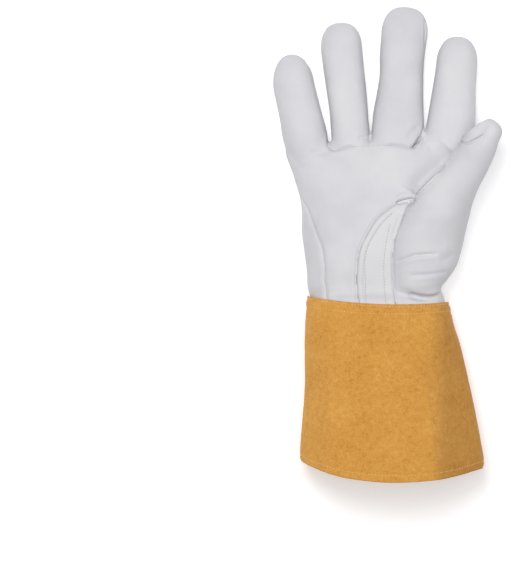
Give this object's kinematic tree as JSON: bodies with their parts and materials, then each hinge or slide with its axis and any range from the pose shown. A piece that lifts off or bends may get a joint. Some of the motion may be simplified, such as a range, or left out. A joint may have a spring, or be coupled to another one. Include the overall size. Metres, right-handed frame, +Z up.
{
  "type": "tig welding glove",
  "caption": "Right-hand welding glove lying palm up: smooth leather hand with open stalls, a wedge let in beside the thumb, an elastic-gathered wrist and a flared split-leather cuff.",
  "frame": {"origin": "on the surface that the glove lies on, under the middle of its outline", "axes": "+Y towards the fingertips, +X towards the thumb side, +Z up, out of the palm"},
  "size_m": [0.144, 0.2992, 0.0576],
  "materials": {
    "goatskin": "smooth grain, pearl grey",
    "goatskin_strips": "smooth grain, pearl grey",
    "split_suede": "napped split, golden tan"
  },
  "bodies": {
    "root": {"palm_panel": "goatskin", "back_panel": "goatskin", "ring_finger_front": "goatskin", "middle_finger_front": "goatskin", "thumb_stall": "goatskin", "thumb_gusset": "goatskin_strips", "fourchette_index_middle": "goatskin_strips", "fourchette_middle_ring": "goatskin_strips", "fourchette_ring_little": "goatskin_strips", "gauntlet_cuff": "split_suede"}
  },
  "joints": []
}
